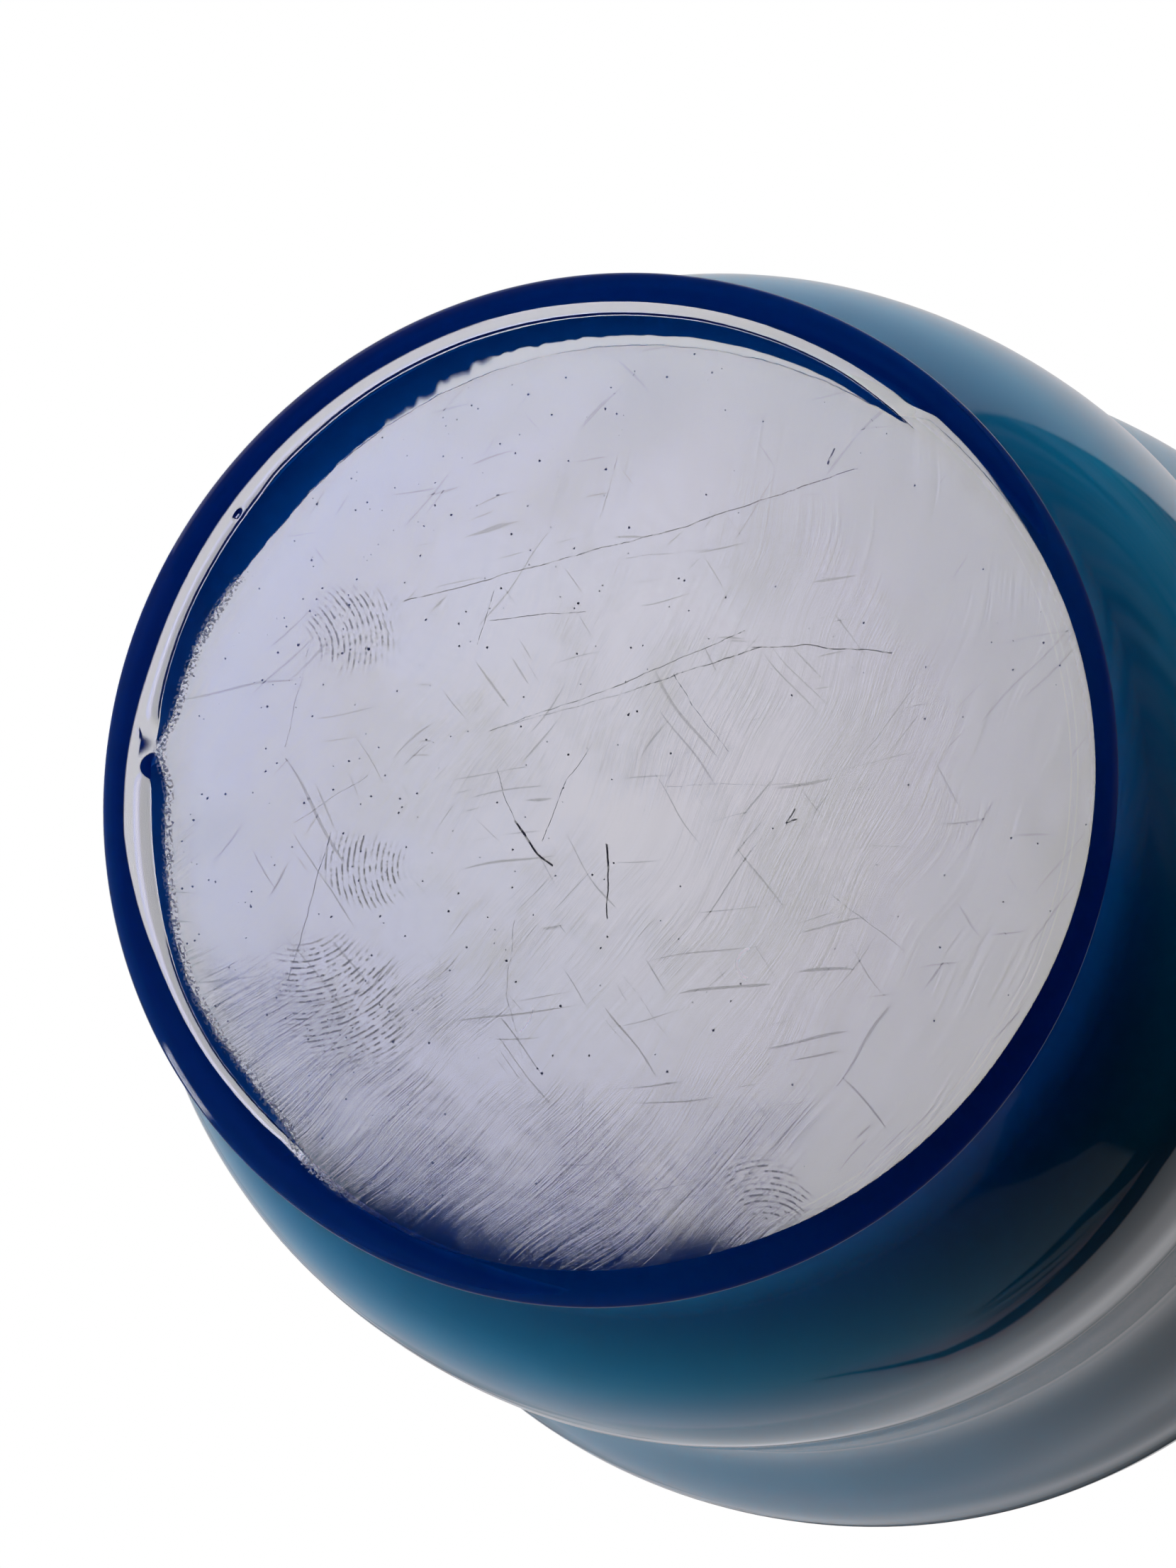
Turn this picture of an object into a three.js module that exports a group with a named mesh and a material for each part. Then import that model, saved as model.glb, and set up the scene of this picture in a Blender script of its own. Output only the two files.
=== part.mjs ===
// Cased glass vase: a blue glass casing blown over a white opal lining,
// standing on a solid disc foot of the same blue glass.
// Millimetres, +Z up, origin at the centre of the ground base.

import * as THREE from 'three';

// ---- driving dimensions (mm) ----------------------------------------------

const SEGMENTS = 40;          // facets around the axis
const GAP = 0.3;              // gap between neighbouring pieces

const HEIGHT = 215.0;         // base to lip
const FOOT_TOP = 9.6;         // height of the solid foot disc

const CASING_WALL = 2.2;      // blue glass over the body
const CASING_WALL_NECK = 1.6; // blue glass at the neck
const LINING_WALL = 1.9;      // opal glass in the body
const LINING_WALL_NECK = 1.4; // opal glass at the neck

// Foot section [radius, height]: ground flat, shallow groove, rounded bead,
// round edge low down, then a side that leans in to the waist.
const FOOT = [
  [0, 0], [18, 0], [35.4, 0],
  [36.1, 0.16], [36.9, 0.34], [37.7, 0.24],
  [38.9, 0.14], [40.2, 0.36], [41.3, 0.8], [42.0, 1.3],
  [42.33, 1.9], [42.15, 2.5], [41.65, 3.8], [41.05, 5.6], [40.4, 7.4],
  [39.8, FOOT_TOP], [18, FOOT_TOP], [0, FOOT_TOP],
];

// Outer skin of the body [radius, height], waist to lip. A lower bulge, a soft
// crease, a larger upper bulge, then the shoulder, neck and flared lip.
const BODY = [
  [39.1, 11.0], [39.2, 12.3], [40.2, 14.6], [42.0, 17.4], [44.1, 20.8],
  [46.0, 24.4], [47.8, 29.2], [49.1, 35.2], [49.8, 41.4], [50.1, 48.0],
  [49.95, 54.6], [49.5, 61.0], [49.0, 67.0], [48.7, 72.4], [48.8, 76.2],
  [49.4, 79.8], [50.5, 84.6], [51.8, 90.0], [52.9, 96.0], [53.4, 102.6],
  [53.2, 109.6], [52.2, 116.8], [50.2, 124.2], [47.0, 131.6], [42.9, 138.8],
  [38.2, 145.6], [33.5, 152.2], [29.5, 159.0], [26.6, 166.0], [24.8, 173.6],
  [24.1, 181.4], [24.5, 189.2], [26.1, 196.8], [28.8, 204.0], [31.9, 209.8],
  [33.4, 212.4],
];

// Floor of the casing's hollow [radius, height], axis to the lower bulge.
const FLOOR = [
  [0, 13.4], [14, 13.6], [24, 14.4], [31, 15.8], [36.2, 17.9], [39.8, 20.6],
  [42.9, 24.6],
];

// ---- section helpers --------------------------------------------------------

// Unit normal to the left of travel at point i of an open run of points.
function normalAt(points, i) {
  const a = points[Math.max(i - 1, 0)];
  const b = points[Math.min(i + 1, points.length - 1)];
  const dr = b[0] - a[0];
  const dz = b[1] - a[1];
  const length = Math.hypot(dr, dz);
  return [-dz / length, dr / length];
}

// Points moved to the left of travel, by a distance that goes from one value
// to another between two heights.
function offset(points, low, high) {
  return points.map((p, i) => {
    const n = normalAt(points, i);
    const t = Math.min(Math.max((p[1] - 120) / 50, 0), 1);
    const d = low + (high - low) * t;
    return [p[0] + n[0] * d, p[1] + n[1] * d];
  });
}

// A closed body of revolution from a section that starts and ends on the axis.
function turned(section) {
  const points = section.map(([r, z]) => new THREE.Vector2(r, z));
  const geometry = new THREE.LatheGeometry(points, SEGMENTS);
  geometry.rotateX(Math.PI / 2); // the lathe turns about Y; the vase stands on Z
  return geometry;
}

// ---- sections ---------------------------------------------------------------

// The skin is walked upward, so its left side is the inside of the glass.
const wallStart = BODY.findIndex((p) => p[1] > 28.0);

const casingInner = [
  ...FLOOR,
  ...offset(BODY, CASING_WALL, CASING_WALL_NECK).slice(wallStart),
];

const liningOuter = offset(casingInner, GAP, GAP);
liningOuter[0][0] = 0;
const liningInner = offset(casingInner, GAP + LINING_WALL, GAP + LINING_WALL_NECK);
liningInner[0][0] = 0;

// Lip: the blue casing rounds over on the outside, the opal lining on the inside.
const casingTop = casingInner[casingInner.length - 1];
const liningTop = liningOuter[liningOuter.length - 1];

const casingSection = [
  [0, FOOT_TOP + GAP], [18, FOOT_TOP + GAP], [38.6, FOOT_TOP + GAP],
  ...BODY,
  [33.75, 213.5], [33.5, 214.4], [32.9, 214.9], [32.4, HEIGHT],
  [casingTop[0] + 0.25, HEIGHT - 0.5],
  ...casingInner.slice().reverse(),
];

const liningSection = [
  ...liningOuter,
  [liningTop[0] + 0.32, HEIGHT - 0.55], [31.75, HEIGHT], [31.2, HEIGHT - 0.15],
  [30.65, HEIGHT - 0.75],
  ...liningInner.slice().reverse(),
];

// ---- materials --------------------------------------------------------------

const blueGlass = new THREE.MeshStandardMaterial({
  color: new THREE.Color(0.02, 0.16, 0.34), roughness: 0.05, metalness: 0,
  transparent: true, opacity: 0.75,
});
const footGlass = new THREE.MeshStandardMaterial({
  color: new THREE.Color(0.005, 0.03, 0.16), roughness: 0.06, metalness: 0,
  transparent: true, opacity: 0.85,
});
const opalGlass = new THREE.MeshStandardMaterial({
  color: new THREE.Color(0.86, 0.86, 0.84), roughness: 0.2, metalness: 0,
});

// ---- pieces -----------------------------------------------------------------

function piece(name, section, material) {
  const mesh = new THREE.Mesh(turned(section), material);
  mesh.name = name;
  return mesh;
}

const vase = new THREE.Group();
vase.name = 'cased_glass_vase';
vase.add(piece('foot', FOOT, footGlass));
vase.add(piece('blue_casing', casingSection, blueGlass));
vase.add(piece('opal_lining', liningSection, opalGlass));

export default vase;
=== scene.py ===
import math

import bpy
import numpy as np
from mathutils import Matrix, Vector


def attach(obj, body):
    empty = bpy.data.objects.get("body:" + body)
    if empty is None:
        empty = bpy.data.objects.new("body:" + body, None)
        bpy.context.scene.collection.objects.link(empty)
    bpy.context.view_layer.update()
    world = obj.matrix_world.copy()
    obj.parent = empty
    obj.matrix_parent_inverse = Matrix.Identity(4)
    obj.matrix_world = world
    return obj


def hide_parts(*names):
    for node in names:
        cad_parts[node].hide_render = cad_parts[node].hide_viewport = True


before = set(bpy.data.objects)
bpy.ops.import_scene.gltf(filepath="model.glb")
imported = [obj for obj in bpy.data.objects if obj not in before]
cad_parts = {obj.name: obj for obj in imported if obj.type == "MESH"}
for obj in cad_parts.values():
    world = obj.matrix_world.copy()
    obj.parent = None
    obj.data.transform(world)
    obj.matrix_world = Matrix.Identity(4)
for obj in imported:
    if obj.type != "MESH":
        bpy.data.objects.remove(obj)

MM = 0.001
scene = bpy.context.scene
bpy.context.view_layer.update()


# ---------------------------------------------------------------- camera ----
# The view is of the underside: the axis runs away from the camera, down and to
# the right of the picture.

FRAME_W, FRAME_H = 1659.0, 2212.0
TILT, ROLL = math.radians(16.4), math.radians(30.3)
DIST = 0.700
FOCAL_PX = 17.385 / MM * DIST

z_in_cam = Vector((math.sin(TILT) * math.cos(ROLL), -math.sin(TILT) * math.sin(ROLL), -math.cos(TILT)))
x_in_cam = (Vector((1, 0, 0)) - z_in_cam * z_in_cam.x).normalized()
y_in_cam = z_in_cam.cross(x_in_cam)
TO_ROW = Matrix((x_in_cam, y_in_cam, z_in_cam))      # camera axes to row axes

cam_data = bpy.data.cameras.new("camera")
cam = bpy.data.objects.new("camera", cam_data)
scene.collection.objects.link(cam)
scene.camera = cam
cam_data.sensor_width = 36.0
cam_data.sensor_fit = "AUTO"
cam_data.lens = FOCAL_PX * 36.0 / FRAME_H
cam_data.clip_start, cam_data.clip_end = 0.02, 50.0
cam_data.dof.use_dof = False
foot_in_cam = Vector(((860.4 - FRAME_W / 2) / FOCAL_PX * DIST, -(1116.0 - FRAME_H / 2) / FOCAL_PX * DIST, -DIST))
cam_at = Vector((0, 0, 4 * MM)) - TO_ROW @ foot_in_cam
cam.matrix_world = Matrix.Translation(cam_at) @ TO_ROW.to_4x4()

TO_CAM = (TO_ROW @ Vector((0, 0, 1))).normalized()   # from the object to the camera
SIDE = Vector((TO_CAM.x, TO_CAM.y, 0)).normalized()  # the visible side of the body
ACROSS = Vector((-SIDE.y, SIDE.x, 0))
UP = Vector((0, 0, 1))
SIDE_AZ = math.atan2(SIDE.y, SIDE.x)


def heading(turn, rise):
    """A direction, by its turn about the axis from SIDE and its rise, in degrees."""
    t, e = math.radians(turn), math.radians(rise)
    return (SIDE * math.cos(t) + ACROSS * math.sin(t)) * math.cos(e) + UP * math.sin(e)


# --------------------------------------------------------------- sections ----

FOOT_TOP = 9.6
CASING_WALL, CASING_WALL_NECK = 2.2, 1.6
LINING_WALL, LINING_WALL_NECK = 1.9, 1.4
HEIGHT = 215.0

BODY = [
    (39.1, 11.0), (39.2, 12.3), (40.2, 14.6), (42.0, 17.4), (44.1, 20.8),
    (46.0, 24.4), (47.8, 29.2), (49.1, 35.2), (49.8, 41.4), (50.1, 48.0),
    (49.95, 54.6), (49.5, 61.0), (49.0, 67.0), (48.7, 72.4), (48.8, 76.2),
    (49.4, 79.8), (50.5, 84.6), (51.8, 90.0), (52.9, 96.0), (53.4, 102.6),
    (53.2, 109.6), (52.2, 116.8), (50.2, 124.2), (47.0, 131.6), (42.9, 138.8),
    (38.2, 145.6), (33.5, 152.2), (29.5, 159.0), (26.6, 166.0), (24.8, 173.6),
    (24.1, 181.4), (24.5, 189.2), (26.1, 196.8), (28.8, 204.0), (31.9, 209.8),
    (33.4, 212.4),
]
FLOOR = [(0, 13.4), (14, 13.6), (24, 14.4), (31, 15.8), (36.2, 17.9), (39.8, 20.6), (42.9, 24.6)]


def smooth_run(points, step):
    """Points along a smooth curve through the given ones, about step apart."""
    p = np.array(points, float)
    t = np.concatenate([[0], np.cumsum(np.hypot(*np.diff(p, axis=0).T))])
    m = np.gradient(p, t, axis=0, edge_order=1)
    out = []
    for i in range(len(p) - 1):
        h = t[i + 1] - t[i]
        n = max(1, int(round(h / step)))
        for k in range(n):
            s = k / n
            h00, h10 = 2 * s**3 - 3 * s**2 + 1, s**3 - 2 * s**2 + s
            h01, h11 = -2 * s**3 + 3 * s**2, s**3 - s**2
            out.append(h00 * p[i] + h10 * h * m[i] + h01 * p[i + 1] + h11 * h * m[i + 1])
    out.append(p[-1])
    return np.array(out)


def offset(points, low, high):
    """The run moved to the left of travel, by a distance that changes with height."""
    p = np.array(points, float)
    d = np.gradient(p, axis=0)
    n = np.stack([-d[:, 1], d[:, 0]], 1) / np.linalg.norm(d, axis=1)[:, None]
    t = np.clip((p[:, 1] - 120) / 50, 0, 1)
    return p + n * (low + (high - low) * t)[:, None]


# ---------------------------------------------------------- mesh building ----

def rings_mesh(name, rings, pole_start, pole_end, finish_from=None):
    """A closed body from rings of points, each an (n, 3) array. Neighbouring rings
    have the same count, or one has three times the other's. Faces that start at
    ring finish_from or later take the second material."""
    verts, faces, mats, at = [], [], [], 0
    starts = []
    if pole_start is not None:
        verts.append(np.array([pole_start], float))
        at = 1
    for r in rings:
        starts.append(at)
        verts.append(r)
        at += len(r)
    if pole_end is not None:
        verts.append(np.array([pole_end], float))
    if pole_start is not None:
        n = len(rings[0])
        s = starts[0]
        faces += [(0, s + (k + 1) % n, s + k) for k in range(n)]
    mats += [0] * len(faces)
    for i in range(len(rings) - 1):
        a, b, na, nb = starts[i], starts[i + 1], len(rings[i]), len(rings[i + 1])
        if na == nb:
            k = np.arange(na)
            k1 = (k + 1) % na
            faces += list(map(tuple, np.stack([a + k, a + k1, b + k1, b + k], 1).tolist()))
        elif na == 3 * nb:
            for k in range(nb):
                f = [a + (3 * k + j) % na for j in range(4)]
                c0, c1 = b + k, b + (k + 1) % nb
                faces += [(f[0], f[1], c0), (f[1], f[2], c1, c0), (f[2], f[3], c1)]
        elif nb == 3 * na:
            for k in range(na):
                f = [b + (3 * k + j) % nb for j in range(4)]
                c0, c1 = a + k, a + (k + 1) % na
                faces += [(c0, f[1], f[0]), (c0, c1, f[2], f[1]), (c1, f[3], f[2])]
        mats += [1 if finish_from is not None and i >= finish_from else 0] * (len(faces) - len(mats))
    if pole_end is not None:
        n = len(rings[-1])
        s = starts[-1]
        faces += [(at, s + k, s + (k + 1) % n) for k in range(n)]
    mats += [1 if finish_from is not None else 0] * (len(faces) - len(mats))
    mesh = bpy.data.meshes.new(name)
    mesh.from_pydata(np.concatenate(verts).tolist(), [], faces)
    mesh.polygons.foreach_set("material_index", mats)
    mesh.shade_smooth()
    obj = bpy.data.objects.new(name, mesh)
    scene.collection.objects.link(obj)
    return obj


def ring(r, z, n):
    """A ring of n points; r and z are numbers or arrays by angle, in mm."""
    a = np.arange(n) * 2 * math.pi / n
    r = np.broadcast_to(r, (n,))
    z = np.broadcast_to(z, (n,))
    return np.stack([r * np.cos(a), r * np.sin(a), z], 1) * MM


FINE, MID = 720, 240

# ---- the underside, by turn about the axis from SIDE, in degrees ------------

# Where the ground flat stops, on the far half, and the hot-formed hollow begins.
FLAT_EDGE = [
    (98, 38.30), (100, 38.05), (102, 37.75), (105, 37.45), (110, 37.20), (115, 37.30), (120, 37.50),
    (125, 37.55), (130, 37.40), (135, 37.05), (140, 36.75), (145, 36.55), (150, 36.30), (152, 36.70),
    (154, 37.30), (157, 37.20), (159, 36.60), (162, 36.40), (165, 36.35), (170, 36.15), (175, 35.80),
    (180, 35.30), (185, 34.95), (190, 34.78), (200, 34.90), (210, 35.05), (220, 35.30),
    (230, 35.60), (240, 35.95), (250, 36.30), (260, 36.80), (270, 37.35), (276, 37.75), (281, 38.20),
]
# Inner and outer limits of the low bead that runs round the hollow.
BEAD_IN = [
    (98, 38.10), (105, 38.05), (110, 38.15), (115, 38.25), (120, 38.28), (125, 38.22), (130, 38.02),
    (135, 37.85), (140, 37.70), (145, 37.68), (150, 37.75), (153, 37.95), (155, 37.60), (157, 37.45),
    (160, 37.80), (165, 37.98), (170, 38.05), (180, 38.12), (185, 38.18), (190, 38.28), (193, 38.50),
    (200, 38.56), (210, 38.70), (220, 38.78), (230, 38.80), (250, 38.80), (260, 38.74), (270, 38.62),
    (276, 38.45), (281, 38.30),
]
BEAD_OUT = [
    (0, 40.25), (10, 40.08), (20, 39.88), (30, 39.68), (40, 39.45), (50, 39.35), (60, 39.40), (70, 39.50),
    (80, 39.50), (90, 39.20), (96, 38.80), (99, 38.60), (105, 38.90), (110, 39.00), (115, 39.15),
    (120, 39.25), (125, 39.32), (130, 39.45), (135, 39.70), (140, 39.88), (145, 39.95), (150, 39.92),
    (155, 39.90), (160, 39.70), (165, 39.52), (170, 39.50), (180, 39.60), (190, 39.75), (200, 39.85),
    (210, 39.88), (220, 39.85), (230, 39.80), (240, 39.74), (250, 39.65), (260, 39.56), (270, 39.55),
    (280, 39.62), (285, 39.75), (290, 39.90), (300, 40.30), (310, 40.64), (320, 40.80), (330, 40.86),
    (340, 40.80), (350, 40.58), (360, 40.25),
]
# Height of the bead's lowest line above the ground plane, on the hollow's side.
BEAD_LOW = [
    (98, 0.00), (104, 0.02), (110, 0.05), (120, 0.05), (130, 0.06), (140, 0.12), (150, 0.20), (160, 0.26),
    (170, 0.36), (180, 0.54), (190, 0.72), (200, 0.78), (210, 0.76), (220, 0.69), (230, 0.60), (240, 0.48),
    (250, 0.36), (260, 0.24), (270, 0.12), (276, 0.05), (281, 0.00),
]


def around(table, turn, ripple=()):
    """The table's value at each turn, smoothly joined, with fine ripples added."""
    t = np.array(table, float)
    turn = np.asarray(turn, float) % 360
    fine = np.arange(0, 360, 0.25)
    if t[0, 0] > 0 or t[-1, 0] < 360:
        v = np.interp(fine, t[:, 0], t[:, 1], period=360)
    else:
        v = np.interp(fine, t[:, 0], t[:, 1])
    k = np.exp(-0.5 * (np.arange(-16, 17) * 0.25 / 0.9) ** 2)
    k /= k.sum()
    v = np.convolve(np.concatenate([v[-16:], v, v[:16]]), k, "valid")
    out = np.interp(turn, np.append(fine, 360.0), np.append(v, v[0]))
    for amount, times, phase in ripple:
        out = out + amount * np.sin(np.radians(turn) * times + phase)
    return out


RAGGED = ((0.030, 47, 0.3), (0.022, 83, 1.9), (0.020, 131, 4.0), (0.012, 211, 2.2))
WAVY = ((0.009, 23, 0.5), (0.006, 37, 2.6), (0.003, 61, 4.4))


def hollow_share(turn):
    """1 where the hollow is open, 0 on the side where it is ground away."""
    t = np.asarray(turn, float) % 360
    return np.clip((t - 97.5) / 4.0, 0, 1) * np.clip((282.5 - t) / 4.0, 0, 1)


def bead_line(turn):
    """Inner limit, outer limit and lowest line of the bead, and its bend."""
    i = around(BEAD_IN, turn)
    o = around(BEAD_OUT, turn)
    open_ = hollow_share(turn)
    across = np.sin(np.radians(turn))
    width = np.clip(o - i, 0.6, 2.6)
    c = (i + o) / 2 + 0.40 * width * across
    c = open_ * c + (1 - open_) * (38.85 + 0.2 * across)
    bend = 0.31 / width
    i = i + sum(a * np.sin(np.radians(turn) * k + f) for a, k, f in WAVY)
    return i, o, c, bend, open_


def rim_radius(turn):
    return 42.33 - 0.12 * np.sin(np.radians(turn))


RIM_RISE = 1.5


def underside(r, turn):
    """Height in mm of the finished underside at radius r (mm) and turn (degrees)."""
    r, turn = np.broadcast_arrays(np.asarray(r, float), np.asarray(turn, float))
    e = around(FLAT_EDGE, turn, RAGGED)
    i, o, c, bend, open_ = bead_line(turn)
    wide = np.maximum(i - e, 0.02)
    low_open = np.where(open_ > 0, around(BEAD_LOW, turn), 0)
    fold = 0.15 * open_
    a = rim_radius(turn) - c
    # on the ground side the plane cuts the rounded rim at the radius o
    rho = np.clip((o - c) / a, 0, 0.9)
    bulge = 1 - np.sqrt(1 - rho**2)
    low_ground = -RIM_RISE * bulge / (1 - bulge)
    low = open_ * low_open + (1 - open_) * low_ground
    # rounded rim outside the bead's lowest line
    rise = np.where(open_ > 0, RIM_RISE, RIM_RISE - low)
    alpha = np.clip(np.sqrt(bend * a * a / rise), 0.8, 1.5) * open_ + (1 - open_)
    s = np.clip((r - c) / a, 0, 1)
    warped = s * (alpha + (1 - alpha) * s)
    outer = low + rise * (1 - np.sqrt(np.clip(1 - warped**2, 0, 1)))
    # inside of the bead, up to the fold, and the hollow between fold and flat
    d = np.clip(c - r, 0, None)
    inner = low + bend * d**2 / 2 + 2.4 * np.clip(i + 0.03 - r, 0, None) ** 1.15
    t = np.clip((r - e) / wide, 0, 1.3)
    hollow = (low_open + fold) * (0.66 * t + 0.34 * t**2) * (r > e)
    inside = np.minimum(hollow, inner)
    # a saddle that bridges the hollow
    bridge = np.exp(-np.abs(((turn % 360) - 155.2) / 3.0) ** 3)
    t2 = np.clip((r - e + 0.3) / (c - e + 0.3), 0, 1)
    inside = inside + (low_open * t2**1.25 - inside) * bridge
    h = np.where(r >= c, outer, inside)
    h = np.where((r < c) & (open_ <= 0), 0.0, h)
    worn = np.exp(-((((turn - 67.0 + 180) % 360) - 180) / 25.0) ** 4)
    h = np.maximum(h, 0.0) + worn * (0.00010 * np.clip(r - 32.5, 0, None) ** 3 + 0.00006 * np.clip(r - 34.5, 0, 5.0) ** 4)
    h = np.where((r < c) & (open_ > 0) & (open_ < 1), h * open_, h)
    # an open bubble in the bead
    pit = np.hypot(r - 38.66, np.radians((turn % 360) - 186.3) * 38.66)
    h = h + 0.20 * np.exp(-(pit / 0.22) ** 4) - 0.03 * np.exp(-((pit - 0.38) / 0.10) ** 2)
    comma = np.hypot(r - 39.25, np.radians((turn % 360) - 156.9) * 39.25 * 0.45)
    h = h + 0.07 * np.exp(-(comma / 0.12) ** 4)
    return np.maximum(h, 0.0)


def foot_rings():
    out = []
    for r, n in [(6, 80), (18, 80), (28, 240), (31.8, FINE)]:
        out.append(ring(r, 0.0, n))
    a = np.arange(FINE) * 2 * math.pi / FINE
    turn = np.degrees(a - SIDE_AZ)
    edge = rim_radius(turn)
    i, o, c, _, open_ = bead_line(turn)
    e = around(FLAT_EDGE, turn, RAGGED)
    g1 = open_ * np.minimum(e, i - 0.12) + (1 - open_) * 38.0
    g2 = np.maximum(open_ * i + (1 - open_) * 38.3, g1 + 0.10)
    g3 = np.maximum(c, g2 + 0.12)
    g4 = np.maximum(o, g3 + 0.06)
    spans = [
        (33.4 + 0 * turn, g1, [0.0, 0.12, 0.24, 0.36, 0.48, 0.60, 0.72, 0.83, 0.91, 0.965, 0.99]),
        (g1, g2, [0.01, 0.05, 0.12, 0.21, 0.31, 0.42, 0.53, 0.63, 0.72, 0.80, 0.87, 0.92, 0.96, 1.0]),
        (g2, g3, [0.08, 0.18, 0.28, 0.38, 0.48, 0.58, 0.68, 0.78, 0.89, 1.0]),
        (g3, g4, [0.15, 0.32, 0.50, 0.68, 0.85, 0.96]),
        (g4, edge, [0.01, 0.04, 0.09, 0.15, 0.22, 0.30, 0.38, 0.46, 0.54, 0.62, 0.70, 0.77, 0.83, 0.88, 0.92, 0.95, 0.975, 0.993]),
    ]
    for a0, a1, shares in [(32.6 + 0 * turn, g1, [0.0])] + spans:
        for share in shares:
            r = a0 + (a1 - a0) * share
            out.append(ring(r, underside(r, turn), FINE))
    return out


def waver(r, z, n):
    """Radius by angle of the hand-blown body: a little out of round, and wavy."""
    a = np.arange(n) * 2 * math.pi / n
    fade = min(max((z - 12) / 14, 0), 1) * min(max((213 - z) / 12, 0), 1)
    w = (0.10 * np.cos(2 * a + 0.7 + 0.010 * z) + 0.05 * np.cos(3 * a - 1.1 + 0.021 * z)
         + 0.028 * np.sin(5 * a + 0.11 * z) + 0.022 * np.sin(7 * a - 0.15 * z + 2)
         + 0.016 * np.sin(4 * a + 0.33 * z + 1) + 0.010 * np.sin(9 * a + 0.42 * z))
    return r + w * fade


casing_end = [(33.4, 212.4), (33.75, 213.5), (33.5, 214.4), (32.9, 214.85), (32.3, 214.93)]


def casing_inner():
    """Inner face of the casing, from the axis up to the lip."""
    start = next(i for i, p in enumerate(BODY) if p[1] > 28.0)
    wall = offset(BODY, CASING_WALL, CASING_WALL_NECK)[start:]
    return smooth_run(FLOOR + [tuple(p) for p in wall], 4.4)


def glass_rings():
    out = foot_rings()
    turn = np.degrees(np.arange(FINE) * 2 * math.pi / FINE - SIDE_AZ)
    edge, level = rim_radius(turn), underside(rim_radius(turn), turn)
    upper = smooth_run([(42.35, 1.9), (42.15, 2.5), (41.65, 3.8), (41.05, 5.6), (40.4, 7.4), (39.8, 9.0), (39.3, 10.1), (39.1, 11.0)], 0.6)
    for r, z in upper:
        share = min(max((5.0 - z) / 3.0, 0), 1)
        out.append(ring(r + (edge - 42.35) * share, z + (level - 1.9) * share, FINE))
    body = smooth_run(BODY, 2.5)
    for k, (r, z) in enumerate(body[1:]):
        n = MID if k > 1 else FINE
        out.append(ring(waver(r, z, n), z, n))
    for r, z in smooth_run(casing_end, 0.4)[1:]:
        out.append(ring(r, z, MID))
    for r, z in casing_inner()[::-1]:
        if r > 0.01:
            out.append(ring(r, z, MID))
    return out


glass = rings_mesh("blue_glass", glass_rings(), (0, 0, 0), (0, 0, FLOOR[0][1] * MM))


def lining_rings():
    """Outer face first, from the axis up to the lip, then the inside down again.
    The outer face lies a hair inside the blue glass, so the two are fused."""
    inner = casing_inner()
    out = []
    face = offset(inner, -0.04, -0.04)
    for r, z in face[:-2]:
        if r > 0.5:
            out.append(ring(r, z, MID))
    start = face[-3]
    seam = len(out) - 1
    for r, z in smooth_run([tuple(start), (31.75, 213.0), (32.28, 214.3), (32.3, 214.85), (31.7, 214.95), (31.05, 214.6), (30.45, 213.8)], 0.4)[1:]:
        out.append(ring(r, z, MID))
    back = offset(smooth_run([tuple(p) for p in inner], 2.4), 0.3 + LINING_WALL, 0.3 + LINING_WALL_NECK)
    for r, z in back[::-1][1:]:
        if r > 0.5:
            out.append(ring(r, z, MID))
    return out, seam


l_rings, l_seam = lining_rings()
lining = rings_mesh("opal_glass", l_rings, (0, 0, (FLOOR[0][1] - 0.04) * MM), (0, 0, (FLOOR[0][1] + 0.3 + LINING_WALL) * MM), l_seam)


def set_marks(obj):
    """Where each point of the glass lies on the underside, for its finish: distance
    past the ground flat's edge (mm), and 1 on the underside."""
    co = np.empty(len(obj.data.vertices) * 3)
    obj.data.vertices.foreach_get("co", co)
    co = co.reshape(-1, 3) / MM
    r = np.hypot(co[:, 0], co[:, 1])
    turn = np.degrees(np.arctan2(co[:, 1], co[:, 0]) - SIDE_AZ) % 360
    e = around(FLAT_EDGE, turn, RAGGED)
    o = around(BEAD_OUT, turn)
    open_ = hollow_share(turn)
    edge = e * open_ + o * (1 - open_)
    under = (co[:, 2] < 1.0).astype(float)
    for name, value in (("past_flat", r - edge), ("underside", under)):
        at = obj.data.attributes.new(name, "FLOAT", "POINT")
        at.data.foreach_set("value", value.astype(np.float32))


set_marks(glass)


# ------------------------------------------------------------- node helpers ----

def new_material(name):
    m = bpy.data.materials.new(name)
    m.use_nodes = True
    nt = m.node_tree
    for n in list(nt.nodes):
        nt.nodes.remove(n)
    out = nt.nodes.new("ShaderNodeOutputMaterial")
    return m, nt, out


def add(nt, kind, **values):
    n = nt.nodes.new(kind)
    for k, v in values.items():
        setattr(n, k, v)
    return n


def put(nt, socket, value):
    if isinstance(value, bpy.types.NodeSocket):
        nt.links.new(value, socket)
    else:
        socket.default_value = value


def calc(nt, op, a, b=None, c=None, clamp=False):
    n = add(nt, "ShaderNodeMath", operation=op, use_clamp=clamp)
    for s, v in zip(n.inputs, (a, b, c)):
        if v is not None:
            put(nt, s, v)
    return n.outputs[0]


def vec(nt, op, a, b=None, scale=None):
    n = add(nt, "ShaderNodeVectorMath", operation=op)
    put(nt, n.inputs[0], a)
    if b is not None:
        put(nt, n.inputs[1], b)
    if scale is not None:
        put(nt, n.inputs["Scale"], scale)
    return n.outputs["Value"] if op in ("DOT_PRODUCT", "LENGTH", "DISTANCE") else n.outputs["Vector"]


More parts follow.
